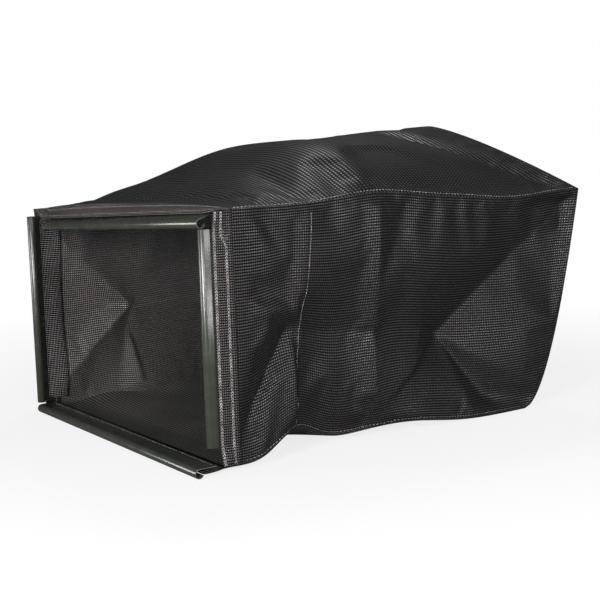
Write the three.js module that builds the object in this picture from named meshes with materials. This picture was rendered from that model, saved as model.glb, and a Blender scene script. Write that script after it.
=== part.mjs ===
// Grass collection bag of a walk-behind mower: five panels of woven mesh sewn into an open box,
// with four extruded clip channels on the hem of the mouth, which snap over a wire frame.
// Millimetres. X runs across the mouth, Y from the mouth to the rear, Z up from the ground.
import * as THREE from 'three';

// The bag
const MOUTH_WIDTH = 454;
const MOUTH_HEIGHT = 270;
const TOP_LENGTH = 550;
const BOTTOM_LENGTH = 445;
const CROWN_RISE = 95;
const CROWN_PEAK_OFFSET = -50;
const FLOOR_FLAT = 0.35;
const REAR_BULGE = 14;
const REAR_ROUNDING = 0.56;
const FABRIC = 1.6;
const SEAM_GAP = 0.3;

// The hem of the mouth, folded double and turned in towards the clips
const HEM_DEPTH = 20;
const TOP_HEM_TURN = 6;
const HEM_EDGE = 1.5;
const HEM_CORNER = 25;
const FLAP_LEFT = 1;
const FLAP_RIGHT = 17;

// The clip channels
const WIRE_BORE = 8;
const CLIP_WALL = 1.3;
const CLIP_FLANGE = 21;
const CLIP_LAP = 9;
const CLIP_SHOWS = 12;
const RIGHT_CLIP_SHOWS = 7.5;
const CLIP_MOUTH_ANGLE = 330;
const CLIP_CLEARANCE = 0.3;
const LEFT_CLIP = { length: 248, middle: 136.5, hemTurn: 2.5, lean: THREE.MathUtils.degToRad(0.6) };
const RIGHT_CLIP = { length: 225, middle: 138.2, hemTurn: 4.5, lean: THREE.MathUtils.degToRad(0.3) };
const TOP_CLIP = { length: 390, middle: 21 };
const BOTTOM_CLIP = { length: 437, middle: 7.5 };
const TOP_CLIP_TILT = THREE.MathUtils.degToRad(1.3);

// How finely the panels are drawn
const LONG_STEPS = 22;
const ACROSS_STEPS = 16;
const HEIGHT_STEPS = 12;
const CLIP_ARC_STEPS = 16;

const HALF_WIDTH = MOUTH_WIDTH / 2;
const HEM_THICKNESS = 2 * FABRIC;
const BEAD_RADIUS = WIRE_BORE / 2 + CLIP_WALL;
const SEAM_SHIFT = SEAM_GAP / Math.SQRT2;
const FLOOR_HEM_LIFT = 2 * BEAD_RADIUS - CLIP_WALL - CLIP_CLEARANCE - HEM_THICKNESS;
const FLAP_YAW = Math.atan((FLAP_RIGHT - FLAP_LEFT) / MOUTH_WIDTH);

const { lerp, clamp, smoothstep } = THREE.MathUtils;

function bump(at, centre, width) {
  return Math.exp(-(((at - centre) / width) ** 2));
}

// Folds. Each one is a line on a flat panel, from and to in shares of the panel's two sides.
// It is deepest on the line, where the mesh is creased, and runs out smoothly to each side, with
// its depth at both ends and its reach to each side in shares of the mouth's height.
// Where two inward folds meet, the deeper one holds and they don't add up. So with outward ones.
const RIGHT_FOLDS = [
  { from: [0.99, 0.98], to: [0.58, 0.4], depth: [0.011, 0.081], reach: [0.556, 0.389] },
  { from: [0.58, 0.4], to: [0.72, 0.03], depth: [0.081, 0.03], reach: [0.296, 0.259] },
  { from: [0.02, 0.07], to: [0.165, 0.5], depth: [0.007, 0.044], reach: [0.167, 0.167] },
  { from: [0.2, 0.97], to: [0.172, 0.5], depth: [-0.004, -0.011], reach: [0.148, 0.059] },
  { from: [0.172, 0.5], to: [0.166, 0.15], depth: [-0.015, -0.022], reach: [0.089, 0.259] },
  { from: [0.38, 0.97], to: [0.37, 0.2], depth: [-0.011, -0.015], reach: [0.222, 0.111] },
  { from: [0.2, 0.5], to: [0.56, 0.42], depth: [0.015, 0.044], reach: [0.407, 0.407] },
];
const LEFT_FOLDS = [
  { from: [0.03, 0.9], to: [0.215, 0.49], depth: [0.015, 0.089], reach: [0.333, 0.222] },
  { from: [0.215, 0.49], to: [0.03, 0.09], depth: [0.089, 0.015], reach: [0.259, 0.222] },
  { from: [0.215, 0.49], to: [0.6, 0.45], depth: [0.074, 0.067], reach: [0.37, 0.37] },
  { from: [0.6, 0.45], to: [0.99, 0.97], depth: [0.067, 0.011], reach: [0.389, 0.519] },
  { from: [0.6, 0.45], to: [0.72, 0.04], depth: [0.067, 0.022], reach: [0.259, 0.296] },
  { from: [0.22, 0.37], to: [0.25, 0.08], depth: [0.019, 0.015], reach: [0.052, 0.089] },
];
const TOP_FOLDS = [
  { from: [0.1, 0.8], to: [0.88, 0.965], depth: [0.037, 0.044], reach: [0.222, 0.167] },
];

function foldDepth(folds, u, v, width, height) {
  let inward = 0;
  let outward = 0;
  for (const fold of folds) {
    const start = new THREE.Vector2(fold.from[0] * width, fold.from[1] * height);
    const along = new THREE.Vector2(fold.to[0] * width, fold.to[1] * height).sub(start);
    const out = new THREE.Vector2(u, v).sub(start);
    const share = clamp(out.dot(along) / along.lengthSq(), 0, 1);
    const side = along.cross(out) > 0 ? 0 : 1;
    const distance = out.addScaledVector(along, -share).length();
    const fall = Math.max(0, 1 - distance / (fold.reach[side] * MOUTH_HEIGHT));
    const depth = lerp(fold.depth[0], fold.depth[1], share) * MOUTH_HEIGHT * fall * fall;
    inward = Math.max(inward, depth);
    outward = Math.min(outward, depth);
  }
  return inward + outward;
}

// Seams. The side seams of the top wave a little, and those of the bottom lift and tuck in. Each
// wave's height is a share of the mouth's height, and its place and width are shares of the seam.
function topSeamHeight(side, y) {
  const share = y / TOP_LENGTH;
  const wave = side > 0
    ? 0.033 * bump(share, 0.39, 0.13) - 0.026 * bump(share, 0.78, 0.13)
    : 0.022 * bump(share, 0.45, 0.15) - 0.019 * bump(share, 0.76, 0.13);
  return MOUTH_HEIGHT * (1 + wave + 0.007 * share ** 4);
}

function floorLift(y) {
  return FLOOR_HEM_LIFT * (1 - smoothstep(y, 0, 3 * HEM_DEPTH));
}

function bottomSeamLift(side, y) {
  const share = Math.min(y / BOTTOM_LENGTH, 1);
  const wave = side > 0
    ? 0.107 * bump(share, 0.22, 0.1) + 0.052 * bump(share, 0.54, 0.18)
    : 0.037 * bump(share, 0.2, 0.1) + 0.044 * bump(share, 0.48, 0.17);
  return MOUTH_HEIGHT * wave;
}

function bottomSeamTuck(side, y) {
  const share = Math.min(y / BOTTOM_LENGTH, 1);
  return MOUTH_HEIGHT * (side > 0 ? 0.081 : 0.059) * bump(share, 0.36, 0.15);
}

function rearEdge(down) {
  return BOTTOM_LENGTH + (TOP_LENGTH - BOTTOM_LENGTH) * (1 - down) ** REAR_ROUNDING;
}

// The crown of the top: steep beside the seams at mid length, a slack gable at the rear.
const CROWN_LINE = new THREE.SplineCurve([
  new THREE.Vector2(0, 0),
  new THREE.Vector2(0.2, 0.33),
  new THREE.Vector2(0.36, 0.64),
  new THREE.Vector2(0.5, 0.72),
  new THREE.Vector2(0.75, 0.94),
  new THREE.Vector2(1, 1),
]);

function crownShare(y) {
  const share = clamp(y / TOP_LENGTH, 0, 1);
  let low = 0;
  let high = 1;
  for (let step = 0; step < 24; step += 1) {
    const middle = (low + high) / 2;
    if (CROWN_LINE.getPoint(middle).x < share) {
      low = middle;
    } else {
      high = middle;
    }
  }
  return CROWN_LINE.getPoint(low).y;
}

function gable(across) {
  const x = across * HALF_WIDTH;
  const end = x > CROWN_PEAK_OFFSET ? HALF_WIDTH : -HALF_WIDTH;
  const climb = (end - x) / (end - CROWN_PEAK_OFFSET);
  return 1 - (1 - clamp(climb, 0, 1)) ** 1.25;
}

function crown(y, across) {
  const arch = 1 - Math.abs(across) ** 3;
  const rear = smoothstep(y / TOP_LENGTH, 0.5, 1);
  return CROWN_RISE * crownShare(y) * lerp(arch, gable(across), rear);
}

function hemTurn(y, turn, lean) {
  if (y >= HEM_DEPTH) {
    return 0;
  }
  const leaning = y <= CLIP_LAP ? 1 : (HEM_DEPTH - y) / (HEM_DEPTH - CLIP_LAP);
  return turn * (1 - y / HEM_DEPTH) + lean * leaning;
}

function cornerEase(fromCorner) {
  return smoothstep(fromCorner, 0, HEM_CORNER);
}

// The lattice that all panels share, so that they meet point to point along every seam
const columns = [
  { y: () => 0, thickness: HEM_THICKNESS },
  { y: () => CLIP_LAP, thickness: HEM_THICKNESS },
  { y: () => HEM_DEPTH, thickness: HEM_THICKNESS },
];
for (let step = 0; step <= LONG_STEPS; step += 1) {
  const share = step / LONG_STEPS;
  columns.push({ y: (rear) => lerp(HEM_DEPTH + HEM_EDGE, rear, share), thickness: FABRIC });
}
const rows = [];
for (let step = 0; step <= HEIGHT_STEPS; step += 1) {
  rows.push(1 - (1 - step / HEIGHT_STEPS) ** 1.3);
}
const acrosses = [];
for (let step = 0; step <= ACROSS_STEPS; step += 1) {
  acrosses.push(Math.sin(lerp(-0.5, 0.5, step / ACROSS_STEPS) * Math.PI * 0.8) / Math.sin(0.4 * Math.PI));
}

// Where a point of each panel's outer face lies
function sidePoint(side, column, down) {
  const rear = rearEdge(down);
  const y = column.y(rear);
  const top = topSeamHeight(side, y);
  const floor = floorLift(y) + bottomSeamLift(side, y);
  const z = lerp(top, floor, down);
  const edges = smoothstep(down, 0, 0.1) * smoothstep(1 - down, 0, 0.1) * smoothstep(rear - y, 0, 40);
  const folds = side > 0 ? RIGHT_FOLDS : LEFT_FOLDS;
  const fold = foldDepth(folds, y, z, TOP_LENGTH, MOUTH_HEIGHT) * edges * smoothstep(y, CLIP_LAP, 2 * HEM_DEPTH);
  const clip = side > 0 ? RIGHT_CLIP : LEFT_CLIP;
  const lean = -side * Math.tan(clip.lean) * (z - clip.middle);
  const turn = hemTurn(y, clip.hemTurn, lean) * cornerEase(z - floor) * cornerEase(top - z);
  const inset = bottomSeamTuck(side, y) * down ** 2 + fold + turn;
  return new THREE.Vector3(side * (HALF_WIDTH - inset), y, z);
}

function topPoint(column, across) {
  const y = column.y(TOP_LENGTH);
  const x = across * HALF_WIDTH;
  const seams = lerp(topSeamHeight(-1, y), topSeamHeight(1, y), (across + 1) / 2);
  const lean = -Math.tan(TOP_CLIP_TILT) * (x - TOP_CLIP.middle);
  const turn = hemTurn(y, TOP_HEM_TURN, lean) * cornerEase(HALF_WIDTH - Math.abs(x));
  const edges = smoothstep(1 - Math.abs(across), 0, 0.12) * smoothstep(TOP_LENGTH - y, 0, 60);
  const fold = foldDepth(TOP_FOLDS, x, y, HALF_WIDTH, TOP_LENGTH) * edges;
  return new THREE.Vector3(x, y, seams + crown(y, across) - turn - fold);
}

function bottomPoint(column, across) {
  const y = column.y(BOTTOM_LENGTH);
  const side = Math.sign(across);
  const half = HALF_WIDTH - bottomSeamTuck(side, y);
  const outside = Math.max(0, (Math.abs(across) - FLOOR_FLAT) / (1 - FLOOR_FLAT));
  const lift = bottomSeamLift(side, y) * outside ** 2;
  return new THREE.Vector3(across * half, y, floorLift(y) + lift);
}

function rearPoint(across, down) {
  const y = rearEdge(down);
  const seams = lerp(topSeamHeight(-1, y), topSeamHeight(1, y), (across + 1) / 2);
  const top = seams + CROWN_RISE * gable(across);
  const floor = bottomPoint({ y: () => BOTTOM_LENGTH }, across).z;
  const bulge = REAR_BULGE * Math.sin(Math.PI * down) * (1 - across ** 2);
  const tuck = bottomSeamTuck(Math.sign(across), BOTTOM_LENGTH) * down ** 2;
  return new THREE.Vector3(across * (HALF_WIDTH - tuck), y + bulge, lerp(top, floor, down));
}

// A panel is a thin closed shell: its outer face, an inner face one thickness further in, and the
// edges between them. Along a seam the edge is mitred, and stands half a gap back from the mitre.
function panelGeometry(grid) {
  const { across, down, point, thickness, mitre, shift } = grid;
  const outer = [];
  for (let i = 0; i <= across; i += 1) {
    outer.push([]);
    for (let j = 0; j <= down; j += 1) {
      outer[i].push(point(i, j));
    }
  }
  const inner = outer.map((line, i) => line.map((place, j) => {
    const inward = mitre(i, j);
    if (inward) {
      return place.clone().addScaledVector(inward, thickness(i));
    }
    const alongI = outer[Math.min(i + 1, across)][j].clone().sub(outer[Math.max(i - 1, 0)][j]);
    const alongJ = outer[i][Math.min(j + 1, down)].clone().sub(outer[i][Math.max(j - 1, 0)]);
    return place.clone().addScaledVector(alongI.cross(alongJ).normalize(), -thickness(i));
  }));
  const positions = [];
  for (const face of [outer, inner]) {
    face.forEach((line, i) => line.forEach((place, j) => {
      positions.push(...place.clone().add(shift(i, j)).toArray());
    }));
  }
  const stride = down + 1;
  const innerStart = (across + 1) * stride;
  const index = [];
  const quad = (a, b, c, d) => index.push(a, b, c, a, c, d);
  for (let i = 0; i < across; i += 1) {
    for (let j = 0; j < down; j += 1) {
      const a = i * stride + j;
      quad(a, a + stride, a + stride + 1, a + 1);
      quad(innerStart + a, innerStart + a + 1, innerStart + a + stride + 1, innerStart + a + stride);
    }
  }
  const rim = [];
  for (let i = 0; i < across; i += 1) rim.push(i * stride);
  for (let j = 0; j < down; j += 1) rim.push(across * stride + j);
  for (let i = across; i > 0; i -= 1) rim.push(i * stride + down);
  for (let j = down; j > 0; j -= 1) rim.push(j);
  rim.forEach((from, k) => {
    const to = rim[(k + 1) % rim.length];
    quad(to, from, innerStart + from, innerStart + to);
  });
  const geometry = new THREE.BufferGeometry();
  geometry.setAttribute('position', new THREE.Float32BufferAttribute(positions, 3));
  geometry.setIndex(index);
  geometry.computeVertexNormals();
  return geometry;
}

const lastColumn = columns.length - 1;

function mesh(name, geometry, material) {
  const piece = new THREE.Mesh(geometry, material);
  piece.name = name;
  return piece;
}

function clothMaterial() {
  return new THREE.MeshStandardMaterial({ color: 0x2a2a2b, roughness: 0.62, metalness: 0 });
}

function clipMaterial() {
  return new THREE.MeshStandardMaterial({ color: 0x1f211f, roughness: 0.28, metalness: 0 });
}

// The inward direction of a panel edge: side, rear and up say which of its neighbours it meets
function inwardOf(side, rear, up, row) {
  if (!rear) {
    return new THREE.Vector3(-side, 0, up);
  }
  const profile = rearInward(row);
  if (!up) {
    return new THREE.Vector3(-side, profile.y, profile.z);
  }
  return new THREE.Vector3(-side, (1 - up * profile.z) / profile.y, up);
}

// The inward normal of the rear edge, seen from the side, at one of the rows
function rearInward(row) {
  const above = rows[Math.max(row - 1, 0)];
  const below = rows[Math.min(row + 1, HEIGHT_STEPS)];
  const normal = new THREE.Vector3(0, MOUTH_HEIGHT * (below - above), rearEdge(above) - rearEdge(below));
  return new THREE.Vector3(0, -normal.y, normal.z).normalize();
}

const edgeSign = (index, low, high) => Number(index === high) - Number(index === low);

// A side panel: columns along the bag, rows from the top seam down to the bottom seam
function sidePanel(side) {
  const rowAt = (j) => (side > 0 ? HEIGHT_STEPS - j : j);
  const up = (j) => edgeSign(rowAt(j), 0, HEIGHT_STEPS);
  return panelGeometry({
    across: lastColumn,
    down: HEIGHT_STEPS,
    point: (i, j) => sidePoint(side, columns[i], rows[rowAt(j)]),
    thickness: (i) => columns[i].thickness,
    mitre: (i, j) => {
      const rear = i === lastColumn;
      return up(j) || rear ? inwardOf(side, rear, up(j), rowAt(j)) : null;
    },
    shift: (i, j) => inwardOf(0, i === lastColumn, up(j), rowAt(j)).multiplyScalar(SEAM_SHIFT),
  });
}

// The top panel: columns along the bag, rows from the right seam across to the left seam
function topPanel() {
  const side = (j) => edgeSign(j, ACROSS_STEPS, 0);
  return panelGeometry({
    across: lastColumn,
    down: ACROSS_STEPS,
    point: (i, j) => topPoint(columns[i], acrosses[ACROSS_STEPS - j]),
    thickness: (i) => columns[i].thickness,
    mitre: (i, j) => {
      const rear = i === lastColumn;
      return side(j) || rear ? inwardOf(side(j), rear, -1, 0) : null;
    },
    shift: (i, j) => new THREE.Vector3(-side(j), i === lastColumn ? -1 : 0, 0).multiplyScalar(SEAM_SHIFT),
  });
}

// The bottom panel, with one more column in front: the flap that reaches forward to its clip
function bottomPanel() {
  const side = (j) => edgeSign(j, 0, ACROSS_STEPS);
  const flap = (across) => -lerp(FLAP_LEFT, FLAP_RIGHT, (across + 1) / 2);
  return panelGeometry({
    across: lastColumn + 1,
    down: ACROSS_STEPS,
    point: (i, j) => {
      const across = acrosses[j];
      return bottomPoint(i === 0 ? { y: () => flap(across) } : columns[i - 1], across);
    },
    thickness: (i) => columns[Math.max(i - 1, 0)].thickness,
    mitre: (i, j) => {
      const rear = i === lastColumn + 1;
      return side(j) || rear ? inwardOf(side(j), rear, 1, HEIGHT_STEPS) : null;
    },
    shift: (i, j) => {
      const back = i === lastColumn + 1 ? -1 : 0;
      return new THREE.Vector3(-side(j), back, 0).multiplyScalar(SEAM_SHIFT);
    },
  });
}

// The rear panel: columns across the bag, rows from the gable down to the ground
function rearPanel() {
  const side = (i) => edgeSign(i, 0, ACROSS_STEPS);
  const up = (j) => edgeSign(j, 0, HEIGHT_STEPS);
  return panelGeometry({
    across: ACROSS_STEPS,
    down: HEIGHT_STEPS,
    point: (i, j) => rearPoint(acrosses[i], rows[j]),
    thickness: () => FABRIC,
    mitre: (i, j) => (side(i) || up(j) ? inwardOf(side(i), true, up(j), j) : null),
    shift: (i, j) => {
      const down = j === 0 ? -1 : 0;
      const back = j === HEIGHT_STEPS ? 1 : 0;
      return new THREE.Vector3(-side(i), back, down).multiplyScalar(SEAM_SHIFT);
    },
  });
}

// A clip channel, extruded: a flat flange, sewn inside the hem, that curls over into a round
// channel open at its back. The section's origin is the middle of the channel's bore.
function clipGeometry(length) {
  const end = THREE.MathUtils.degToRad(CLIP_MOUTH_ANGLE);
  const bore = WIRE_BORE / 2;
  const flange = CLIP_FLANGE;
  const section = new THREE.Shape();
  section.moveTo(flange, bore);
  section.lineTo(flange, BEAD_RADIUS);
  section.lineTo(0, BEAD_RADIUS);
  section.absarc(0, 0, BEAD_RADIUS, Math.PI / 2, end, false);
  section.lineTo(bore * Math.cos(end), bore * Math.sin(end));
  section.absarc(0, 0, bore, end, Math.PI / 2, true);
  const geometry = new THREE.ExtrudeGeometry(section, {
    depth: length,
    bevelEnabled: false,
    curveSegments: CLIP_ARC_STEPS,
  });
  geometry.translate(0, 0, -length / 2);
  return geometry;
}

// Sets a clip so that its flange lies flat under the hem. edge is a point on the hem's outer face
// at the mouth, back runs along the flange towards the rear, and out is the hem's outward normal.
function seatClip(piece, edge, back, out, shows = CLIP_SHOWS) {
  const middle = edge.clone()
    .addScaledVector(out, -(HEM_THICKNESS + CLIP_CLEARANCE + BEAD_RADIUS))
    .addScaledVector(back, -shows);
  const basis = new THREE.Matrix4().makeBasis(back, out, back.clone().cross(out));
  piece.quaternion.setFromRotationMatrix(basis);
  piece.position.copy(middle);
}

function sideClip(side) {
  const clip = side > 0 ? RIGHT_CLIP : LEFT_CLIP;
  const piece = mesh(side > 0 ? 'right_clip' : 'left_clip', clipGeometry(clip.length), clipMaterial());
  const slope = Math.atan(clip.hemTurn / HEM_DEPTH);
  const back = new THREE.Vector3(side * Math.sin(slope), Math.cos(slope), 0);
  const out = new THREE.Vector3(side * Math.cos(slope), -Math.sin(slope), 0);
  const lean = new THREE.Quaternion().setFromAxisAngle(new THREE.Vector3(0, 1, 0), clip.lean);
  const edge = new THREE.Vector3(side * (HALF_WIDTH - clip.hemTurn), 0, clip.middle);
  const shows = side > 0 ? RIGHT_CLIP_SHOWS : CLIP_SHOWS;
  seatClip(piece, edge, back.applyQuaternion(lean), out.applyQuaternion(lean), shows);
  return piece;
}

function topClip() {
  const piece = mesh('top_clip', clipGeometry(TOP_CLIP.length), clipMaterial());
  const slope = Math.atan(TOP_HEM_TURN / HEM_DEPTH);
  const back = new THREE.Vector3(0, Math.cos(slope), Math.sin(slope));
  const out = new THREE.Vector3(0, -Math.sin(slope), Math.cos(slope));
  const tilt = new THREE.Quaternion().setFromAxisAngle(new THREE.Vector3(0, 1, 0), -TOP_CLIP_TILT);
  const edge = new THREE.Vector3(TOP_CLIP.middle, 0, MOUTH_HEIGHT - TOP_HEM_TURN);
  seatClip(piece, edge, back.applyQuaternion(tilt), out.applyQuaternion(tilt));
  return piece;
}

// The bottom clip lies on the ground, and its flange is above the hem, inside the bag.
function bottomClip() {
  const piece = mesh('bottom_clip', clipGeometry(BOTTOM_CLIP.length), clipMaterial());
  const yaw = new THREE.Quaternion().setFromAxisAngle(new THREE.Vector3(0, 0, 1), -FLAP_YAW);
  const back = new THREE.Vector3(0, 1, 0).applyQuaternion(yaw);
  const out = new THREE.Vector3(0, 0, 1);
  const share = (BOTTOM_CLIP.middle / HALF_WIDTH + 1) / 2;
  const front = -lerp(FLAP_LEFT, FLAP_RIGHT, share);
  piece.position.set(BOTTOM_CLIP.middle, front, BEAD_RADIUS).addScaledVector(back, -CLIP_SHOWS);
  piece.quaternion.setFromRotationMatrix(new THREE.Matrix4().makeBasis(back, out, back.clone().cross(out)));
  return piece;
}

const bag = new THREE.Group();
bag.add(
  mesh('top_panel', topPanel(), clothMaterial()),
  mesh('bottom_panel', bottomPanel(), clothMaterial()),
  mesh('left_side_panel', sidePanel(-1), clothMaterial()),
  mesh('right_side_panel', sidePanel(1), clothMaterial()),
  mesh('rear_panel', rearPanel(), clothMaterial()),
  sideClip(-1),
  sideClip(1),
  topClip(),
  bottomClip(),
);

// The origin is on the ground, under the middle of the bag's box.
const box = new THREE.Box3().setFromObject(bag, true);
bag.position.set(-(box.min.x + box.max.x) / 2, -(box.min.y + box.max.y) / 2, -box.min.z);

export default bag;
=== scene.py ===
import math

import bpy
import numpy as np
from mathutils import Matrix, Vector


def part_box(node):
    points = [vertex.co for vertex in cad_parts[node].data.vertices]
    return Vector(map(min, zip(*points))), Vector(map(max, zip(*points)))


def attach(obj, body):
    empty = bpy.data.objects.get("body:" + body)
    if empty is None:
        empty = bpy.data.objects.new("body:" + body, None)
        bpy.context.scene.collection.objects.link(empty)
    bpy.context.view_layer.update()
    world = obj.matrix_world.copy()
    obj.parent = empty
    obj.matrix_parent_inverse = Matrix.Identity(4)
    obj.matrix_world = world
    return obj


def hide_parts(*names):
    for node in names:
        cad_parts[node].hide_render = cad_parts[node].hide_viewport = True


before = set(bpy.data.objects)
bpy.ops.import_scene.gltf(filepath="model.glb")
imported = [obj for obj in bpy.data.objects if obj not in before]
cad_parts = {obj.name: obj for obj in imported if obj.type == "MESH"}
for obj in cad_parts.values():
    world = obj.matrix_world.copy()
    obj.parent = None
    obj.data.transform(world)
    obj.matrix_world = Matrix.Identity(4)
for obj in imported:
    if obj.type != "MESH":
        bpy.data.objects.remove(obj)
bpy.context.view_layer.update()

# The room. The bag stands on white studio paper, seen from in front and to the right of its mouth
# at the height of its top. Eight round soft lamps stand around it. The strongest faces the mouth,
# so that the facets of the folds that face it are the light ones, and two stand behind the bag.
bpy.context.scene.view_settings.view_transform = "Standard"
camera = bpy.data.objects.new("camera", bpy.data.cameras.new("camera"))
bpy.context.scene.collection.objects.link(camera)
bpy.context.scene.camera = camera
camera.data.sensor_width = 36
camera.data.lens = 66
camera.data.clip_start = 0.05
camera.data.clip_end = 60
camera_place = (1.1651, -0.8331, 0.2997)
turn, pitch, roll = (math.radians(a) for a in (54.2, 6.4, -2.1))
back = Vector(
    (math.sin(turn) * math.cos(pitch), -math.cos(turn) * math.cos(pitch), math.sin(pitch))
)
level = Vector((0, 0, 1)).cross(back).normalized()
upright = back.cross(level)
right = math.cos(roll) * level + math.sin(roll) * upright
above = -math.sin(roll) * level + math.cos(roll) * upright
camera_axes = Matrix((right, above, back)).transposed().to_4x4()
camera.matrix_world = Matrix.Translation(camera_place) @ camera_axes


def srgb(code):
    """A shader's linear colour from a screen colour's code."""
    channels = [int(code[i : i + 2], 16) / 255 for i in (1, 3, 5)]
    return [c / 12.92 if c <= 0.04045 else ((c + 0.055) / 1.055) ** 2.4 for c in channels] + [1]


def add(tree, kind, inputs=None, **settings):
    """A node with its inputs, each a value or another node's output."""
    made = tree.nodes.new("ShaderNode" + kind)
    for name, value in settings.items():
        setattr(made, name, value)
    for socket, value in (inputs or {}).items():
        if isinstance(value, bpy.types.NodeSocket):
            tree.links.new(value, made.inputs[socket])
        else:
            made.inputs[socket].default_value = value
    return made


def new_material(name):
    material = bpy.data.materials.new(name)
    material.use_nodes = True
    material.node_tree.nodes.clear()
    return material, material.node_tree


def soft_lamp(name, toward, far, size, watts):
    """A round lamp aimed at the bag: degrees around it from the mouth and up, metres away."""
    lamp = bpy.data.objects.new(name, bpy.data.lights.new(name, "AREA"))
    bpy.context.scene.collection.objects.link(lamp)
    lamp.data.shape = "DISK"
    lamp.data.size = size
    lamp.data.energy = watts
    a, e = (math.radians(v) for v in toward)
    out = Vector((math.sin(a) * math.cos(e), -math.cos(a) * math.cos(e), math.sin(e)))
    bag_middle = Vector((0, 0, 0.15))
    lamp.location = bag_middle + far * out
    lamp.rotation_mode = "QUATERNION"
    lamp.rotation_quaternion = out.to_track_quat("Z", "Y")


soft_lamp("lamp_mouth", (28, 9), 2.4, 0.7, 60)
soft_lamp("lamp_near", (62, 10), 2.4, 0.5, 20)
soft_lamp("lamp_clip", (88, 1.2), 1.8, 0.35, 6)
soft_lamp("lamp_above", (88, 22), 2.4, 0.5, 9)
soft_lamp("lamp_side", (111, 5), 2.4, 0.4, 13)
soft_lamp("lamp_behind", (226, 56), 2.6, 0.6, 10)
soft_lamp("lamp_rear", (186, 2), 2.4, 0.7, 26)
soft_lamp("lamp_left", (332, 6), 2.4, 0.7, 24)

world = bpy.data.worlds.new("white studio")
bpy.context.scene.world = world
world.use_nodes = True
room = world.node_tree
room.nodes.clear()
ray = add(room, "LightPath")
seen = add(
    room,
    "Math",
    {0: ray.outputs["Is Camera Ray"], 1: ray.outputs["Is Transmission Ray"]},
    operation="MAXIMUM",
)
lit = add(room, "Background", {"Color": srgb("#f4f6ff"), "Strength": 0.06})
white = add(room, "Background", {"Color": srgb("#ffffff"), "Strength": 1.0})
either = add(room, "MixShader", {0: seen.outputs[0], 1: lit.outputs[0], 2: white.outputs[0]})
add(room, "OutputWorld", {"Surface": either.outputs[0]})

floor_mesh = bpy.data.meshes.new("floor")
wide = 20
floor_corners = [(-wide, -wide, 0), (wide, -wide, 0), (wide, wide, 0), (-wide, wide, 0)]
floor_mesh.from_pydata(floor_corners, [], [(0, 1, 2, 3)])
floor = bpy.data.objects.new("floor", floor_mesh)
floor.location.z = -0.0005
bpy.context.scene.collection.objects.link(floor)
# The paper is dull and takes the bag's soft shadow. To the camera it also glows, so that it stays
# white and its far edge doesn't show.
paper, tree = new_material("white studio paper")
matt = add(tree, "BsdfDiffuse", {"Color": srgb("#7c7c7c")})
beside = add(tree, "TexCoord")
away = add(tree, "VectorMath", {0: beside.outputs["Object"]}, operation="LENGTH")
strength = add(
    tree,
    "MapRange",
    {"Value": away.outputs["Value"], "From Min": 0.4, "From Max": 1.8, "To Min": 0.78},
)
glow = add(tree, "Emission", {"Color": srgb("#ffffff"), "Strength": strength.outputs[0]})
both = add(tree, "AddShader", {0: matt.outputs[0], 1: glow.outputs[0]})
ray = add(tree, "LightPath")
shown = add(
    tree, "MixShader", {0: ray.outputs["Is Camera Ray"], 1: matt.outputs[0], 2: both.outputs[0]}
)
add(tree, "OutputMaterial", {"Surface": shown.outputs[0]})
floor_mesh.materials.append(paper)


# The side panels. Each is one piece of vinyl-coated woven polyester mesh, cut with a slanted rear
# end and sewn to the top, the rear and the bottom. Its slack has been pushed in by hand, along
# folds that run from the corners to the middle. All sizes of the bag are in millimetres.
mouth_width = 454
mouth_height = 270
top_length = 550
bottom_length = 445
half_width = mouth_width / 2
hem_depth = 20
clip_lap = 9
floor_hem_lift = 5.8
floor_hem_fade = 60
corner_reach = 25
rear_slant = 0.56
step = 4
top_low, top_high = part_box("top_panel")
mouth_place = np.array([(top_low[0] + top_high[0]) / 2, top_low[1], 0])

# Each side's clip, 1 for the right and -1 for the left: its length, its middle's height, its hem's
# turn-in and lean, and how far it shows past the mouth.
side_clips = {1: (225, 138.2, 4.5, 0.3, 7.5), -1: (248, 136.5, 2.5, 0.6, 12)}
# The waves of each seam: their height, their place as a share of the seam, and their width.
top_waves = {1: ((9, 0.39, 0.13), (-7, 0.78, 0.13)), -1: ((6, 0.45, 0.15), (-5, 0.76, 0.13))}
top_end_rise = 2
low_waves = {1: ((29, 0.22, 0.1), (14, 0.54, 0.18)), -1: ((10, 0.2, 0.1), (12, 0.48, 0.17))}
low_tucks = {1: (22, 0.36, 0.15), -1: (16, 0.36, 0.15)}
# Each fold: its two ends as shares of the panel, its depth at each, and its reach to either side.
right_folds = [
    ((0.99, 0.98), (0.58, 0.4), (11, 26), (150, 100)),
    ((0.58, 0.4), (0.72, 0.03), (26, 9), (80, 65)),
    ((0.02, 0.07), (0.165, 0.5), (4, 15), (45, 45)),
    ((0.205, 0.99), (0.172, 0.5), (-1, -4), (45, 12)),
    ((0.178, 0.5), (0.172, 0.08), (-5, -10), (9, 55)),
    ((0.38, 0.97), (0.37, 0.2), (-5, -7), (50, 22)),
    ((0.2, 0.5), (0.56, 0.42), (5, 14), (100, 100)),
]
left_folds = [
    ((0.03, 0.9), (0.215, 0.49), (6, 26), (90, 50)),
    ((0.215, 0.49), (0.03, 0.09), (26, 6), (60, 60)),
    ((0.215, 0.49), (0.6, 0.45), (22, 20), (90, 90)),
    ((0.6, 0.45), (0.99, 0.97), (20, 6), (105, 140)),
    ((0.6, 0.45), (0.72, 0.04), (20, 8), (70, 80)),
    ((0.22, 0.37), (0.25, 0.08), (9, 8), (14, 24)),
]


def bump(at, centre, width):
    """A smooth rise to 1 at the centre."""
    return np.exp(-(((at - centre) / width) ** 2))


def ease(at, low, high):
    """From 0 at the low end to 1 at the high one, smoothly."""
    share = np.clip((at - low) / (high - low), 0, 1)
    return share * share * (3 - 2 * share)


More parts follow.
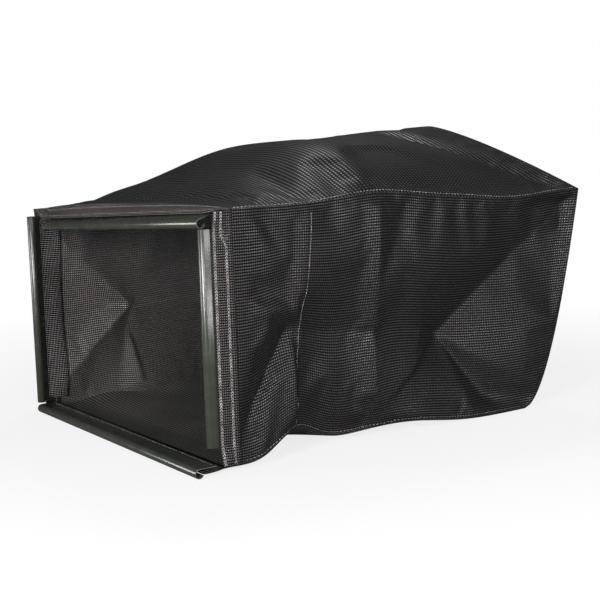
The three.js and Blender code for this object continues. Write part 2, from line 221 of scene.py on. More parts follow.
def fold_depth(folds, u, v, width, height):
    """How deep the cloth is pushed in at each place, by the deepest of its folds."""
    inward = np.zeros_like(u)
    outward = np.zeros_like(u)
    for start, end, depth, reach in folds:
        from_u, from_v = u - start[0] * width, v - start[1] * height
        along_u, along_v = (end[0] - start[0]) * width, (end[1] - start[1]) * height
        share = (from_u * along_u + from_v * along_v) / (along_u**2 + along_v**2)
        share = np.clip(share, 0, 1)
        far = np.hypot(from_u - share * along_u, from_v - share * along_v)
        reached = np.where(along_u * from_v - along_v * from_u > 0, reach[0], reach[1])
        fall = np.maximum(0, 1 - far / reached)
        deep = (depth[0] + (depth[1] - depth[0]) * share) * fall**2
        inward = np.maximum(inward, deep)
        outward = np.minimum(outward, deep)
    return inward + outward


def top_seam(side, y):
    """The height of a side's seam with the top."""
    s = y / top_length
    height = mouth_height
    for rise, at, width in top_waves[side]:
        height = height + rise * bump(s, at, width)
    return height + top_end_rise * s**4


def floor_lift(y):
    return floor_hem_lift * (1 - ease(y, 0, floor_hem_fade))


def seam_lift(side, y):
    """How far a side's seam with the bottom is off the ground."""
    s = np.minimum(y / bottom_length, 1)
    first, second = (rise * bump(s, at, width) for rise, at, width in low_waves[side])
    return first + second


def seam_tuck(side, y):
    """How far the same seam is drawn in under the bag."""
    tuck, at, width = low_tucks[side]
    return tuck * bump(np.minimum(y / bottom_length, 1), at, width)


def rear_edge(down):
    """The slanted rear edge of a side, at a share of the way down."""
    return bottom_length + (top_length - bottom_length) * np.clip(1 - down, 0, 1) ** rear_slant


def hem_inset(y, turn, lean):
    """How far the hem turns in and leans with its clip."""
    leaning = np.clip((hem_depth - y) / (hem_depth - clip_lap), 0, 1)
    return turn * np.clip(1 - y / hem_depth, 0, 1) + lean * leaning


def corner_ease(far):
    return ease(far, 0, corner_reach)


def side_surface(side, y, down):
    top = top_seam(side, y)
    low = floor_lift(y) + seam_lift(side, y)
    z = top + (low - top) * down
    # The folds fade out towards the seams and the hem.
    edges = ease(down, 0, 0.06) * ease(1 - down, 0, 0.1) * ease(rear_edge(down) - y, 0, 18)
    folds = right_folds if side > 0 else left_folds
    fold = fold_depth(folds, y, z, top_length, mouth_height) * edges
    fold *= ease(y, clip_lap, 2 * hem_depth)
    _, middle, hem_turn, clip_lean, _ = side_clips[side]
    lean = -side * math.tan(math.radians(clip_lean)) * (z - middle)
    turn_in = hem_inset(y, hem_turn, lean) * corner_ease(z - low) * corner_ease(top - z)
    inset = seam_tuck(side, y) * down**2 + fold + turn_in
    return np.stack([side * (half_width - inset), y, z], axis=-1)


def grid_mesh(name, points, mirror=False):
    """A mesh over a grid of points, in metres, with the cloth's own flat measure as its UV map."""
    long, wide = points.shape[:2]
    along = np.linalg.norm(np.diff(points, axis=0), axis=-1).mean(axis=1)
    across = np.linalg.norm(np.diff(points, axis=1), axis=-1).mean(axis=0)
    u = np.concatenate([[0], np.cumsum(along)])
    v = np.concatenate([[0], np.cumsum(across)])
    index = np.arange(long * wide).reshape(long, wide)
    corners = [index[:-1, :-1], index[1:, :-1], index[1:, 1:], index[:-1, 1:]]
    if mirror:
        corners.reverse()
    faces = np.stack([c.ravel() for c in corners], axis=-1)
    mesh = bpy.data.meshes.new(name)
    mesh.from_pydata((points.reshape(-1, 3) * 0.001 + mouth_place).tolist(), [], faces.tolist())
    flat = np.stack(np.meshgrid(u, v, indexing="ij"), axis=-1).reshape(-1, 2) * 0.001
    uv = mesh.uv_layers.new(name="cut")
    uv.data.foreach_set("uv", flat[faces.ravel()].ravel())
    mesh.shade_smooth()
    return mesh


def place(name, mesh, slot, *replaced):
    """A piece that rides on the bag, in the place of the solids that it names."""
    made = bpy.data.objects.new(name, mesh)
    bpy.context.scene.collection.objects.link(made)
    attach(made, "root")
    if replaced:
        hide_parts(*replaced)
    return made


def woven_mesh(name, along_rib="X", rib=3.1, yarn=2.6, light="#45413f"):
    """Vinyl-coated polyester yarn, woven open: thick ribs one way and thin yarn across them.

    The coating gives the ribs a dull gloss along their tops, and the gaps between them stay black.
    The real ribs are about 1.9 mm apart, which is too fine to show, so they are drawn 1.4 to 3
    times as coarse. A rib and a yarn are the distances from one to the next, in millimetres.
    """
    full_turn = 2 * math.pi
    material, tree = new_material(name)
    place_in_cut = add(tree, "UVMap", uv_map="cut")
    axes = add(tree, "SeparateXYZ", {0: place_in_cut.outputs[0]})
    length, across = ("X", "Y") if along_rib == "X" else ("Y", "X")
    sway = add(tree, "TexNoise", {"Vector": place_in_cut.outputs[0], "Scale": 14.0, "Detail": 1.0})
    swayed = add(
        tree,
        "Math",
        {0: sway.outputs["Fac"], 1: 0.0015, 2: axes.outputs[across]},
        operation="MULTIPLY_ADD",
    )
    rib_turn = add(
        tree, "Math", {0: swayed.outputs[0], 1: full_turn / (rib * 0.001)}, operation="MULTIPLY"
    )
    rib_wave = add(tree, "Math", {0: rib_turn.outputs[0]}, operation="SINE")
    rib_high = add(
        tree,
        "MapRange",
        {"Value": rib_wave.outputs[0], "From Min": -0.75, "From Max": 0.9},
        interpolation_type="SMOOTHSTEP",
    )
    yarn_turn = add(
        tree, "Math", {0: axes.outputs[length], 1: full_turn / (yarn * 0.001)}, operation="MULTIPLY"
    )
    yarn_wave = add(tree, "Math", {0: yarn_turn.outputs[0]}, operation="SINE")
    yarn_high = add(
        tree,
        "MapRange",
        {"Value": yarn_wave.outputs[0], "From Min": -0.6, "From Max": 1.0},
        interpolation_type="SMOOTHSTEP",
    )
    crossing = add(
        tree, "Math", {0: rib_high.outputs[0], 1: yarn_high.outputs[0]}, operation="MULTIPLY"
    )
    low = add(tree, "Math", {0: rib_high.outputs[0], 1: 0.38}, operation="MULTIPLY")
    height = add(
        tree, "Math", {0: crossing.outputs[0], 1: 0.62, 2: low.outputs[0]}, operation="MULTIPLY_ADD"
    )
    ribs = add(tree, "ValToRGB", {"Fac": height.outputs[0]})
    ribs.color_ramp.elements[0].color = srgb("#030303")
    ribs.color_ramp.elements[1].color = srgb(light)
    ribs.color_ramp.elements.new(0.42).color = srgb("#0f0f0f")
    dust = add(tree, "TexNoise", {"Vector": place_in_cut.outputs[0], "Scale": 9.0, "Detail": 5.0})
    uneven = add(
        tree, "TexNoise", {"Vector": place_in_cut.outputs[0], "Scale": 260.0, "Detail": 1.0}
    )
    tones = add(tree, "Math", {0: dust.outputs["Fac"], 1: uneven.outputs["Fac"]}, operation="ADD")
    dusty = add(
        tree,
        "MapRange",
        {
            "Value": tones.outputs[0],
            "From Min": 0.7,
            "From Max": 1.3,
            "To Min": 0.55,
            "To Max": 1.45,
        },
    )
    colour = add(tree, "HueSaturation", {"Color": ribs.outputs[0], "Value": dusty.outputs[0]})
    relief = add(tree, "Bump", {"Height": height.outputs[0], "Distance": 0.0002, "Strength": 0.7})
    dull = add(
        tree,
        "MapRange",
        {
            "Value": height.outputs[0],
            "From Min": 0.3,
            "From Max": 0.75,
            "To Min": 0.7,
            "To Max": 0.28,
        },
    )
    shine = add(tree, "MapRange", {"Value": height.outputs[0], "To Min": 0.22})
    coated = add(
        tree,
        "BsdfPrincipled",
        {
            "Base Color": colour.outputs[0],
            "Specular Tint": shine.outputs[0],
            "Roughness": dull.outputs[0],
            "IOR": 1.53,
            "Normal": relief.outputs[0],
        },
    )
    between = add(
        tree, "Math", {0: rib_high.outputs[0], 1: yarn_high.outputs[0]}, operation="MAXIMUM"
    )
    hole = add(
        tree,
        "MapRange",
        {"Value": between.outputs[0], "From Max": 0.5, "To Min": 0.05, "To Max": 0.0},
    )
    clear = add(tree, "BsdfTransparent")
    mesh_open = add(
        tree, "MixShader", {0: hole.outputs[0], 1: coated.outputs[0], 2: clear.outputs[0]}
    )
    add(tree, "OutputMaterial", {"Surface": mesh_open.outputs[0]})
    return material


def slacken(panel, sewn, spare, cap, frames=24):
    """Lets a sewn panel buckle, so that its slack settles into shallow creases.

    The cloth has a share more length than its seams allow, and it is held along them. No point
    moves further than the cap, in millimetres.
    """
    mesh = panel.data
    held = panel.vertex_groups.new(name="sewn")
    for index, weight in enumerate(sewn.ravel()):
        held.add([index], float(weight), "REPLACE")
    before = np.empty(len(mesh.vertices) * 3)
    mesh.vertices.foreach_get("co", before)
    cloth_in = panel.modifiers.new("slack", "CLOTH")
    yarn = cloth_in.settings
    yarn.quality = 6
    yarn.mass = 0.15
    yarn.tension_stiffness = yarn.compression_stiffness = 25
    yarn.shear_stiffness = 12
    yarn.bending_stiffness = 4
    yarn.air_damping = 2
    yarn.shrink_min = -spare
    yarn.vertex_group_mass = "sewn"
    yarn.pin_stiffness = 1.5
    yarn.effector_weights.gravity = 0
    cloth_in.collision_settings.use_collision = False
    cloth_in.point_cache.frame_end = frames
    for frame_number in range(1, frames + 1):
        bpy.context.scene.frame_set(frame_number)
    settled = panel.evaluated_get(bpy.context.evaluated_depsgraph_get()).to_mesh()
    after = np.empty(len(mesh.vertices) * 3)
    settled.vertices.foreach_get("co", after)
    panel.modifiers.remove(cloth_in)
    bpy.context.scene.frame_set(1)
    moved = (after - before).reshape(-1, 3)
    far = np.linalg.norm(moved, axis=1, keepdims=True)
    moved *= cap * 0.001 * np.tanh(far / (cap * 0.001)) / np.maximum(far, 1e-9)
    mesh.vertices.foreach_set("co", (before.reshape(-1, 3) + moved).ravel())
    mesh.update()


cloths = {}
for side, name, finish, light in (
    (1, "right_side", "vinyl-coated woven polyester mesh, ribs along the bag", "#3a3635"),
    # The left panel's weave is drawn much lighter than the right's. This is painted light: the
    # inside of the bag, lit through the mouth.
    (-1, "left_side", "vinyl-coated woven polyester mesh, dusty from cut grass", "#86817e"),
):
    shares = np.linspace(0, 1, top_length // step + 1)
    downs = np.linspace(0, 1, mouth_height // step + 1)
    share, down = np.meshgrid(shares, downs, indexing="ij")
    points = side_surface(side, share * rear_edge(down), down)
    mesh = grid_mesh(name + "_mesh", points, mirror=side > 0)
    mesh.materials.append(woven_mesh(finish, "X", light=light))
    panel = place(name + "_cloth", mesh, "woven_mesh", name + "_panel")
    sewn = np.maximum(1 - ease(share * rear_edge(down), 22, 50), 0.03)
    sewn[:, 0] = sewn[:, -1] = sewn[-1] = 1
    slacken(panel, sewn, 0.012, 5)
    cloths[name] = panel


# The top panel. It is one piece of the same mesh with its ribs across the bag, slack over the
# middle. It is sewn to the side panels, rises steeply from those seams at mid length, and ends in a
# low gable, where the rear panel holds it up.
crown_rise = 95
crown_peak = -50
crown_line = np.array([(0, 0), (0.2, 0.33), (0.36, 0.64), (0.5, 0.72), (0.75, 0.94), (1, 1)])
top_turn = 6
top_clip_middle = 21
top_tilt = math.radians(1.3)
top_folds = [((0.1, 0.8), (0.88, 0.965), (12, 13), (60, 45))]
top_fold_fade = 60


def crown_share(y):
    """How high the crown is along the bag, by a smooth curve through its line's points."""
    before = 2 * crown_line[0] - crown_line[1]
    after = 2 * crown_line[-1] - crown_line[-2]
    knots = np.vstack([before, crown_line, after])
    drawn = []
    for k in range(1, len(knots) - 2):
        p0, p1, p2, p3 = knots[k - 1 : k + 3]
        t = np.linspace(0, 1, 40)[:, None]
        drawn.append(
            p1
            + (p2 - p0) / 2 * t
            + (p0 - 2.5 * p1 + 2 * p2 - p3 / 2) * t**2
            + (1.5 * (p1 - p2) + (p3 - p0) / 2) * t**3
        )
    drawn = np.vstack(drawn)
    return np.interp(np.clip(y / top_length, 0, 1), drawn[:, 0], drawn[:, 1])


def gable(across):
    """The low gable at the rear, with its peak left of the middle."""
    x = across * half_width
    end = np.where(x > crown_peak, half_width, -half_width)
    climb = np.clip((end - x) / (end - crown_peak), 0, 1)
    return 1 - (1 - climb) ** 1.25


def top_surface(y, across):
    x = across * half_width
    seams = top_seam(-1, y) + (top_seam(1, y) - top_seam(-1, y)) * (across + 1) / 2
    lean = -math.tan(top_tilt) * (x - top_clip_middle)
    turn_down = hem_inset(y, top_turn, lean) * corner_ease(half_width - np.abs(x))
    edges = ease(1 - np.abs(across), 0, 0.12) * ease(top_length - y, 0, top_fold_fade)
    fold = fold_depth(top_folds, x, y, half_width, top_length) * edges
    rear = ease(y / top_length, 0.5, 1)
    arch = 1 - np.abs(across) ** 3
    crown = crown_rise * crown_share(y) * (arch + (gable(across) - arch) * rear)
    return np.stack([x, y, seams + crown - turn_down - fold], axis=-1)


# The top's weave, also used for the rear, is drawn lighter than the right side's. This is painted
# light: a painted sheen for the top's near flank.
top_weave = woven_mesh(
    "vinyl-coated woven polyester mesh, ribs across the bag", "Y", 5.2, 3.9, "#4a4644"
)
ys, acrosses = np.meshgrid(
    np.linspace(0, top_length, top_length // step + 1),
    np.linspace(-1, 1, mouth_width // step + 1),
    indexing="ij",
)
mesh = grid_mesh("top_mesh", top_surface(ys, acrosses), mirror=True)
mesh.materials.append(top_weave)
top_cloth = place("top_cloth", mesh, "woven_mesh", "top_panel")
sewn = np.maximum(1 - ease(ys, 22, 50), 0.03)
sewn[:, :2] = sewn[:, -2:] = sewn[-1] = 1
slacken(top_cloth, sewn, 0.008, 4)


# The bottom panel. It is the same mesh, stained by grass, and lies on the ground. Its front edge
# reaches forward as a flap to its clip, further on the right than on the left, and the seams that
# join it to the sides lift off the ground and tuck in.
flap_left = 1
flap_right = 17
floor_flat = 0.35


def flap_front(across):
    return -(flap_left + (flap_right - flap_left) * (across + 1) / 2)


def bottom_surface(y, across):
    side_lift = np.where(across > 0, seam_lift(1, y), seam_lift(-1, y))
    half = half_width - np.where(across > 0, seam_tuck(1, y), seam_tuck(-1, y))
    outside = np.maximum(0, (np.abs(across) - floor_flat) / (1 - floor_flat))
    return np.stack([across * half, y, floor_lift(y) + side_lift * outside**2], axis=-1)


shares, acrosses = np.meshgrid(
    np.linspace(0, 1, bottom_length // step + 1),
    np.linspace(-1, 1, mouth_width // step + 1),
    indexing="ij",
)
flap = flap_front(acrosses)
points = bottom_surface(flap + (bottom_length - flap) * shares, acrosses)
mesh = grid_mesh("bottom_mesh", points)
floor_weave = woven_mesh(
    "vinyl-coated woven polyester mesh, stained by grass", "Y", 5.4, 3.8, "#94928a"
)
mesh.materials.append(floor_weave)
bottom_cloth = place("bottom_cloth", mesh, "woven_mesh", "bottom_panel")


# The rear panel. It is one piece of the same mesh, sewn in along all four edges. It hangs from the
# gable of the top, bulges a little and rounds forward to the ground.
rear_bulge = 14


def rear_surface(across, down):
    y = rear_edge(down)
    seams = top_seam(-1, y) + (top_seam(1, y) - top_seam(-1, y)) * (across + 1) / 2
    top = seams + crown_rise * gable(across)
    low = bottom_surface(np.full_like(across, bottom_length), across)[..., 2]
    bulge = rear_bulge * np.sin(math.pi * down) * (1 - across**2)
    return np.stack([across * half_width, y + bulge, top + (low - top) * down], axis=-1)


downs, acrosses = np.meshgrid(
    np.linspace(0, 1, 80),
    np.linspace(-1, 1, mouth_width // step + 1),
    indexing="ij",
)
mesh = grid_mesh("rear_mesh", rear_surface(acrosses, downs), mirror=True)
mesh.materials.append(top_weave)
rear_cloth = place("rear_cloth", mesh, "woven_mesh", "rear_panel")
sewn = np.full_like(downs, 0.03)
sewn[:, 0] = sewn[:, -1] = sewn[0] = sewn[-1] = 1
slacken(rear_cloth, sewn, 0.012, 5)


# The hem of the mouth. Each panel's front edge is turned over the flange of its clip, so it is two
# layers deep, with a soft rounded fold in front and a raw turned edge behind, flattened at the
# seams. A section's points are how far back from the front edge and how far out from the panel.
hem_section = np.array([
    (21.5, 0.1), (20.8, 0.9), (18, 1.0), (15.5, 0.7), (13.5, 0.4), (11.5, 0.8), (8, 1.1),
    (4.5, 1.0), (1.5, 0.5), (0.2, 0.3), (-0.8, -0.4), (-1.0, -1.2), (-0.6, -2.2), (0.6, -2.7),
    (6, -2.7), (12, -2.5), (15.5, -2.4), (19.5, -2.3), (21.2, -1.6), (21.5, -0.6),
])
floor_hem_section = np.array([
    (21.5, 0.2), (19, 1.1), (14, 2.3), (9, 3.0), (2, 3.4), (-3.5, 3.4), (-6.2, 2.6), (-8.0, 1.2),
    (-9.0, -0.6), (-8.2, -2.2), (-5.0, -3.0), (2, -3.1), (8.5, -3.1), (12, -3.0), (21.5, -0.4),
])


def raised(surface, first, second, out):
    """Points and unit normals on a panel, the normals to the outside of the bag."""
    at = surface(first, second)
    over = surface(first + 0.5, second) - at
    span = surface(first, second + 0.002) - at
    normal = np.cross(over, span) * out
    return at, normal / np.linalg.norm(normal, axis=-1, keepdims=True)


def hem_mesh(name, surface, shares, section, out, begins=0):
    """A hem's section carried along the front edge of a panel, and flattened at both ends."""
    closed = np.vstack([section, section[:1]])
    share, y = np.meshgrid(shares, closed[:, 0], indexing="ij")
    begin = begins(share) if callable(begins) else begins
    at, normal = raised(surface, np.maximum(y, 0) + begin, share, out)
    at[..., 1] += np.minimum(y, 0)
    ends = np.minimum(share - shares[0], shares[-1] - share) / (shares[-1] - shares[0])
    full = 0.06 + 0.94 * ease(ends, 0, 0.012)
    depth = np.broadcast_to(closed[:, 1], share.shape) * full
    return grid_mesh(name, at + normal * depth[..., None])


def right_surface(y, down):
    return side_surface(1, y, down)


def left_surface(y, down):
    return side_surface(-1, y, down)


long_shares = np.linspace(0, 1, 90)
wide_shares = np.linspace(-1, 1, 130)
hem_weave = woven_mesh(
    "vinyl-coated woven polyester mesh, two layers in the hem", "Y", 2.6, 2.2, "#57514f"
)
faded_weave = woven_mesh(
    "vinyl-coated woven polyester mesh, faded in the top hem", "Y", 2.6, 2.2, "#9a928f"
)
for name, surface, shares, section, out, begins, size in (
    ("right_hem", right_surface, long_shares, hem_section, -1, 0, (0.27, 0.046)),
    ("left_hem", left_surface, long_shares, hem_section, 1, 0, (0.27, 0.046)),
    ("top_hem", top_surface, wide_shares, hem_section, -1, 0, (0.454, 0.046)),
    ("bottom_hem", bottom_surface, wide_shares, floor_hem_section, 1, flap_front, (0.454, 0.056)),
):
    mesh = hem_mesh(name + "_mesh", surface, shares, section, out, begins)
    mesh.materials.append(faded_weave if name == "top_hem" else hem_weave)
    hem = place(name, mesh, "woven_mesh")


# The facing of the left hem. It is a strip of the same mesh, sewn down inside the bag over the
# flange of the left clip, which it hides. Its light colour is painted light: the lit inside of the
# bag, drawn over the clip's shadow.
facing_section = np.array([
    (33, -0.3), (27, -2.2), (21.5, -4.6), (18, -5.1), (2.5, -5.1), (1.6, -5.4), (1.3, -5.8),
    (2.5, -6.0), (18, -5.8), (22, -5.2), (27.5, -3.0), (33, -0.9),
])
mesh = hem_mesh("left_facing_mesh", left_surface, np.linspace(0.03, 0.975, 90), facing_section, 1)
mesh.materials.append(
    woven_mesh(
        "vinyl-coated woven polyester mesh, dusty facing of the hem", "Y", 2.6, 2.3, "#b0acac"
    )
)
facing = place("left_hem_facing", mesh, "woven_mesh")


# The hem stitches. Two rows of chain stitch run down each side hem and two plain rows along the top
# one, through the cloth and the flange of the clip, with a plain row inside. The thread is light
# grey bonded polyester. The right hem's second row starts nearer to the first one.
def thread_mesh(name, starts, ends, outs, thread):
    """Short spindles of thread, each from a start to its end, as thick each way as the thread."""
    along = ends - starts
    run = along / np.linalg.norm(along, axis=-1, keepdims=True)
    beside = np.cross(run, outs)
    beside /= np.linalg.norm(beside, axis=-1, keepdims=True)
    lift = np.cross(beside, run)
    # Each ring is a share of the stitch's length and a share of the thread's radius.
    rings = [(0, 0.35), (0.2, 0.95), (0.5, 1.15), (0.8, 0.95), (1, 0.35)]
    turns = np.radians(np.arange(0, 360, 60))
    points = []
    for share, wide in rings:
        for turn in turns:
            swell = thread * wide * (beside * math.cos(turn) + lift * math.sin(turn))
            points.append(starts + along * share + swell)
    points = np.stack(points, axis=1)
    count = len(turns)
    ring, k = (v.ravel() for v in np.meshgrid(np.arange(len(rings) - 1), np.arange(count)))
    a, b = ring * count + k, ring * count + (k + 1) % count
    one = np.stack([a, b, b + count, a + count], axis=-1)
    stitch = (np.arange(len(starts)) * points.shape[1])[:, None, None]
    faces = (one[None] + stitch).reshape(-1, 4)
    mesh = bpy.data.meshes.new(name)
    mesh.from_pydata((points.reshape(-1, 3) * 0.001 + mouth_place).tolist(), [], faces.tolist())
    mesh.shade_smooth()
    return mesh


def spaced(at, normal, pitch):
    """Even steps along a line on the cloth: places, normals and the way it runs."""
    far = np.concatenate([[0], np.cumsum(np.linalg.norm(np.diff(at, axis=0), axis=-1))])
    marks = np.arange(pitch / 2, far[-1] - pitch / 2, pitch)
    place_at = np.stack([np.interp(marks, far, at[:, k]) for k in range(3)], axis=-1)
    normal_at = np.stack([np.interp(marks, far, normal[:, k]) for k in range(3)], axis=-1)
    run = np.stack([np.gradient(place_at[:, k]) for k in range(3)], axis=-1)
    return place_at, normal_at, run / np.linalg.norm(run, axis=-1, keepdims=True)


def chain_stitches(line, pitch, spread):
    """A row of links, each of two threads that leave one hole and open to the spread."""
    at, normal, run = spaced(*line, pitch)
    beside = np.cross(normal, run)
    starts, ends, outs = [], [], []
    for way in (-1, 1):
        starts.append(at + run * pitch * 0.72 + beside * way * spread + normal * 0.15)
        ends.append(at - run * pitch * 0.28 + normal * 0.45)
        outs.append(normal)
    return tuple(np.vstack(v) for v in (starts, ends, outs))


def plain_stitches(line, pitch, share):
    """A row of single threads, each as long as its share of the pitch."""
    at, normal, run = spaced(*line, pitch)
    half = run * pitch * share / 2
    lift = 0.3
    return at - half + normal * lift, at + half + normal * lift, normal


def hem_line(surface, row, shares, out, depth):
    """A line on a panel, with its normals, raised by the depth to either side of the cloth."""
    at, normal = raised(surface, np.broadcast_to(row, shares.shape), shares, out)
    return at + normal * depth, normal * (1 if depth > 0 else -1)


# The thread has picked up dust and soil, so that some of its stitches look paler than others.
sewing, tree = new_material("bonded polyester sewing thread, soiled")
soil = add(tree, "TexCoord")
soiled = add(tree, "TexNoise", {"Vector": soil.outputs["Object"], "Scale": 120.0, "Detail": 3.0})
tone = add(tree, "ValToRGB", {"Fac": soiled.outputs["Fac"]})
tone.color_ramp.elements[0].position = 0.3
tone.color_ramp.elements[0].color = srgb("#4c484a")
tone.color_ramp.elements[1].position = 0.7
tone.color_ramp.elements[1].color = srgb("#a39c9e")
twisted = add(tree, "BsdfPrincipled", {"Base Color": tone.outputs[0], "Roughness": 0.55})
add(tree, "OutputMaterial", {"Surface": twisted.outputs[0]})


def sew(name, rows, thread):
    """One piece of sewing thread from rows of stitches, each its starts, ends and outward ways."""
    mesh = thread_mesh(name + "_mesh", *(np.vstack(v) for v in zip(*rows)), thread)
    mesh.materials.append(sewing)
    place(name, mesh, "woven_mesh")


hem_thread = 0.42
first_row, second_row, top_second_row = 1.5, 13.5, 14.0
hem_outside, hem_inside = 0.6, -2.9
down_hem = np.linspace(0.004, 0.996, 400)
along_top = np.linspace(-0.985, 0.985, 600)
right_second_row = second_row - 5.5 * (1 - ease(down_hem, 0.09, 0.15))
for name, surface, out, shares, rows in (
    ("right", right_surface, -1, down_hem, (first_row, right_second_row)),
    ("left", left_surface, 1, down_hem, (first_row, second_row)),
    ("top", top_surface, -1, along_top, (first_row, top_second_row)),
):
    sewn_rows = []
    for row in rows:
        line = hem_line(surface, row, shares, out, hem_outside)
        if name == "top":
            sewn_rows.append(plain_stitches(line, 4.4, 0.4))
        else:
            sewn_rows.append(chain_stitches(line, 3.3, 1.35))
    inside = hem_line(surface, rows[1], shares, out, hem_inside)
    sewn_rows.append(plain_stitches(inside, 3.3, 0.62))
    sew(name + "_hem_stitches", sewn_rows, hem_thread)


# The bottom hem's stitches. One fine plain row of the same thread shows on top of the bottom clip's
# flange, and holds it to the flap beneath.
flange_top = 10.6
flange_sewn = 5.5
flange_row = np.linspace(-0.9, 0.975, 500)
front = flap_front(flange_row) + flange_sewn
at = np.stack([flange_row * half_width, front, np.full_like(front, flange_top)], axis=-1)
up = np.broadcast_to((0.0, 0.0, 1.0), at.shape)
sew("bottom_hem_stitches", [plain_stitches((at, up), 3.6, 0.4)], 0.24)


# The top seam's stitches. One plain row on each side joins the top panel to the side panel, along
# the edge of the top.
seam_pitch, seam_share = 4.6, 0.6
seam_y = np.linspace(24, top_length - 6, 500)
seam_rows = []
for side in (1, -1):
    line = hem_line(top_surface, seam_y, np.full_like(seam_y, side * 0.988), -1, 0.5)
    seam_rows.append(plain_stitches(line, seam_pitch, seam_share))
sew("top_seam_stitches", seam_rows, 0.42)


# The right hem's back-tack. Six stitches of the same thread cross the top end of the second row, to
# stop it from running. Each end is a distance back from the front edge and a share of the way down.
tack_from = np.array([
    (7.0, 0.072), (8.5, 0.083), (9.0, 0.094), (11.5, 0.1), (10.5, 0.108), (8.0, 0.112),
])
tack_to = np.array([
    (11.5, 0.079), (13.5, 0.088), (15.0, 0.1), (17.5, 0.096), (15.5, 0.113), (12.0, 0.106),
])
start, normal = raised(right_surface, tack_from[:, 0], tack_from[:, 1], -1)
end, _ = raised(right_surface, tack_to[:, 0], tack_to[:, 1], -1)
sew("right_hem_back_tack", [(start + normal * 1.2, end + normal * 1.3, normal)], 0.3)


# The rear seams' stitches. One plain row of the same thread runs down each side of the rear panel
# and one along its top, where it is sewn to its neighbours.
def on_cloth(panel, near):
    """The nearest places on a settled panel to some points, and its normals there."""
    found = [panel.closest_point_on_mesh(Vector(point * 0.001 + mouth_place)) for point in near]
    at = np.array([place_at for _, place_at, _, _ in found])
    normal = np.array([way for _, _, way, _ in found])
    return (at - mouth_place) * 1000, normal


rear_down = np.linspace(0.015, 0.985, 220)
rear_across = np.linspace(-0.97, 0.97, 260)
rear_lines = [(np.full_like(rear_down, side * 0.982), rear_down) for side in (1, -1)]
rear_lines.append((rear_across, np.full_like(rear_across, 0.012)))
seam_rows = []
for across, down in rear_lines:
    line = on_cloth(rear_cloth, rear_surface(across, down))
    seam_rows.append(plain_stitches(line, seam_pitch, seam_share))
sew("rear_seam_stitches", seam_rows, 0.5)


# The low seams' stitches. One fine plain row of the same thread joins each side panel to the
# bottom, close above the fold of the seam.
low_y = np.linspace(26, bottom_length - 8, 240)
seam_rows = []
for side, name in ((1, "right_side"), (-1, "left_side")):
    line = on_cloth(cloths[name], side_surface(side, low_y, np.full_like(low_y, 0.984)))
    seam_rows.append(plain_stitches(line, seam_pitch, seam_share))
sew("low_seam_stitches", seam_rows, 0.26)


# The pulled yarn. One light yarn of the right side's weave has been drawn tight, from the top seam
# to the ground along the front crease, and stands a little proud of the cloth.
y = np.linspace(119, 97, 64)
z = np.linspace(262, 34, 64)
drawn = side_surface(1, y, (top_seam(1, y) - z) / (top_seam(1, y) - seam_lift(1, y)))
sew("pulled_yarn", [plain_stitches(on_cloth(cloths["right_side"], drawn), 3.4, 0.9)], 0.2)


# The clip channels. Each is a strip of glossy black PVC, extruded as a flat flange that curls over
# into a round channel, and cut to length with square ends. It is sewn inside the hem of the mouth.
bore = 4.0
wall = 1.3
bead = bore + wall
clip_shows = 12
hem_thickness = 3.2
clearance = 0.3


def clip_section():
    """The section's outline, from the middle of the bore, with rounded free edges."""
    arc = np.radians(np.linspace(90, 330, 41))
    outer = [(bead * math.cos(a), bead * math.sin(a)) for a in arc]
    inner = [(bore * math.cos(a), bore * math.sin(a)) for a in arc[::-1]]
    middle = (bore + wall / 2) * np.array([math.cos(arc[-1]), math.sin(arc[-1])])
    lip = [
        tuple(middle + wall / 2 * np.array([math.cos(arc[-1] + b), math.sin(arc[-1] + b)]))
        for b in np.radians([30, 60, 90, 120, 150])
    ]
    flange = clip_shows + clip_lap
    tip = [
        (flange - 0.5 + wall / 2 * math.cos(b), bead - wall / 2 + wall / 2 * math.sin(b))
        for b in np.radians([-90, -60, -30, 0, 30, 60, 90])
    ]
    along = [(x, bead) for x in np.linspace(flange - 3, 2, 6)]
    under = [(x, bore) for x in np.linspace(2, flange - 3, 6)]
    return np.array(tip + along + outer + lip + inner + under)


def extrude_clip(name, length, middle, along_flange, out):
    """A length of the section, with its cut ends rounded in small steps."""
    section = clip_section()
    run = along_flange.cross(out)
    ends = [(0, 0.35), (0.12, 0.12), (0.35, 0)]
    rings = [(-length / 2 + far, inset) for far, inset in ends]
    rings += [(length / 2 - far, inset) for far, inset in reversed(ends)]
    turn_in = np.roll(section, -1, axis=0) - np.roll(section, 1, axis=0)
    turn_in = np.stack([-turn_in[:, 1], turn_in[:, 0]], axis=-1)
    turn_in /= np.linalg.norm(turn_in, axis=-1, keepdims=True)
    points, faces = [], []
    for far, inset in rings:
        drawn = section + turn_in * inset
        for x, y in drawn:
            points.append((middle + along_flange * x + out * y + run * far) * 0.001)
    count = len(section)
    for ring in range(len(rings) - 1):
        for k in range(count):
            a, b = ring * count + k, ring * count + (k + 1) % count
            faces.append((a, b, b + count, a + count))
    faces.append(tuple(range(count))[::-1])
    faces.append(tuple(range((len(rings) - 1) * count, len(rings) * count)))
    mesh = bpy.data.meshes.new(name)
    mesh.from_pydata([tuple(p + Vector(mouth_place)) for p in points], [], faces)
    girth = np.concatenate([[0], np.cumsum(np.linalg.norm(np.diff(section, axis=0), axis=-1))])
    drawn_at = mesh.uv_layers.new(name="drawn")
    for loop in mesh.loops:
        ring, k = divmod(loop.vertex_index, count)
        drawn_at.data[loop.index].uv = (rings[ring][0] * 0.001, girth[k] * 0.001)
    mesh.shade_smooth()
    mesh.set_sharp_from_angle(angle=math.radians(50))
    return mesh


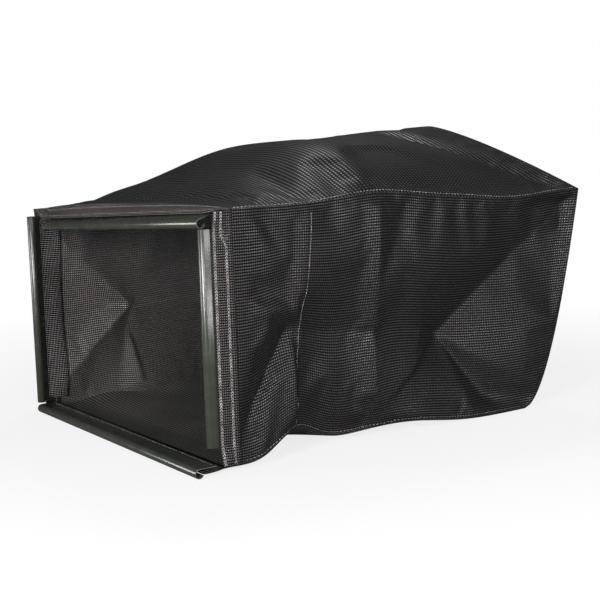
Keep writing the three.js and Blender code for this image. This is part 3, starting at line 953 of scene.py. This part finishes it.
def glossy_pvc():
    """Black PVC, extruded: it shines in long streaks, and scuffs from handling dull it in places.

    The die's lines run along the strip, about 0.9 mm apart.
    """
    material, tree = new_material("glossy extruded PVC")
    drawn_at = add(tree, "UVMap", uv_map="drawn")
    stretched = add(tree, "Mapping", {"Vector": drawn_at.outputs[0], "Scale": (9.0, 1100.0, 1.0)})
    lines = add(tree, "TexNoise", {"Vector": stretched.outputs[0], "Scale": 1.0, "Detail": 2.0})
    place_on = add(tree, "TexCoord")
    scuffs = add(
        tree, "TexNoise", {"Vector": place_on.outputs["Object"], "Scale": 60.0, "Detail": 3.0}
    )
    worn = add(
        tree,
        "MapRange",
        {
            "Value": scuffs.outputs["Fac"],
            "From Min": 0.35,
            "From Max": 0.7,
            "To Min": 0.23,
            "To Max": 0.29,
        },
    )
    tone = add(tree, "ValToRGB", {"Fac": scuffs.outputs["Fac"]})
    tone.color_ramp.elements[0].color = srgb("#242620")
    tone.color_ramp.elements[1].color = srgb("#363832")
    relief = add(
        tree, "Bump", {"Height": lines.outputs["Fac"], "Distance": 0.00005, "Strength": 0.8}
    )
    pvc = add(
        tree,
        "BsdfPrincipled",
        {
            "Base Color": tone.outputs[0],
            "Roughness": worn.outputs[0],
            "IOR": 1.53,
            "Normal": relief.outputs[0],
        },
    )
    add(tree, "OutputMaterial", {"Surface": pvc.outputs[0]})
    return material


pvc = glossy_pvc()
drop = hem_thickness + clearance + bead


def clip_channel(name, length, middle, flange, out):
    """A clip from the middle of its bore, the way its flange runs and the way its back faces."""
    mesh = extrude_clip(name + "_mesh", length, middle, flange, out)
    mesh.materials.append(pvc)
    place(name + "_channel", mesh, "extruded_vinyl", name)


for side, name in ((1, "right_clip"), (-1, "left_clip")):
    length, height, hem_turn, clip_lean, shows = side_clips[side]
    lean = Matrix.Rotation(math.radians(clip_lean), 3, "Y")
    slope = math.atan(hem_turn / hem_depth)
    flange = lean @ Vector((side * math.sin(slope), math.cos(slope), 0))
    out = lean @ Vector((side * math.cos(slope), -math.sin(slope), 0))
    middle = Vector((side * (half_width - hem_turn), 0, height)) - out * drop - flange * shows
    clip_channel(name, length, middle, flange, out)

top_clip_length = 390
slope = math.atan(top_turn / hem_depth)
tilt = Matrix.Rotation(-top_tilt, 3, "Y")
flange = tilt @ Vector((0, math.cos(slope), math.sin(slope)))
out = tilt @ Vector((0, -math.sin(slope), math.cos(slope)))
middle = Vector((top_clip_middle, 0, mouth_height - top_turn)) - out * drop - flange * clip_shows
clip_channel("top_clip", top_clip_length, middle, flange, out)

bottom_clip_length = 437
bottom_clip_middle = 7.5
yaw = Matrix.Rotation(-math.atan((flap_right - flap_left) / mouth_width), 3, "Z")
flange = yaw @ Vector((0, 1, 0))
out = Vector((0, 0, 1))
front = flap_front(bottom_clip_middle / half_width)
middle = Vector((bottom_clip_middle, front, bead)) - flange * clip_shows
clip_channel("bottom_clip", bottom_clip_length, middle, flange, out)
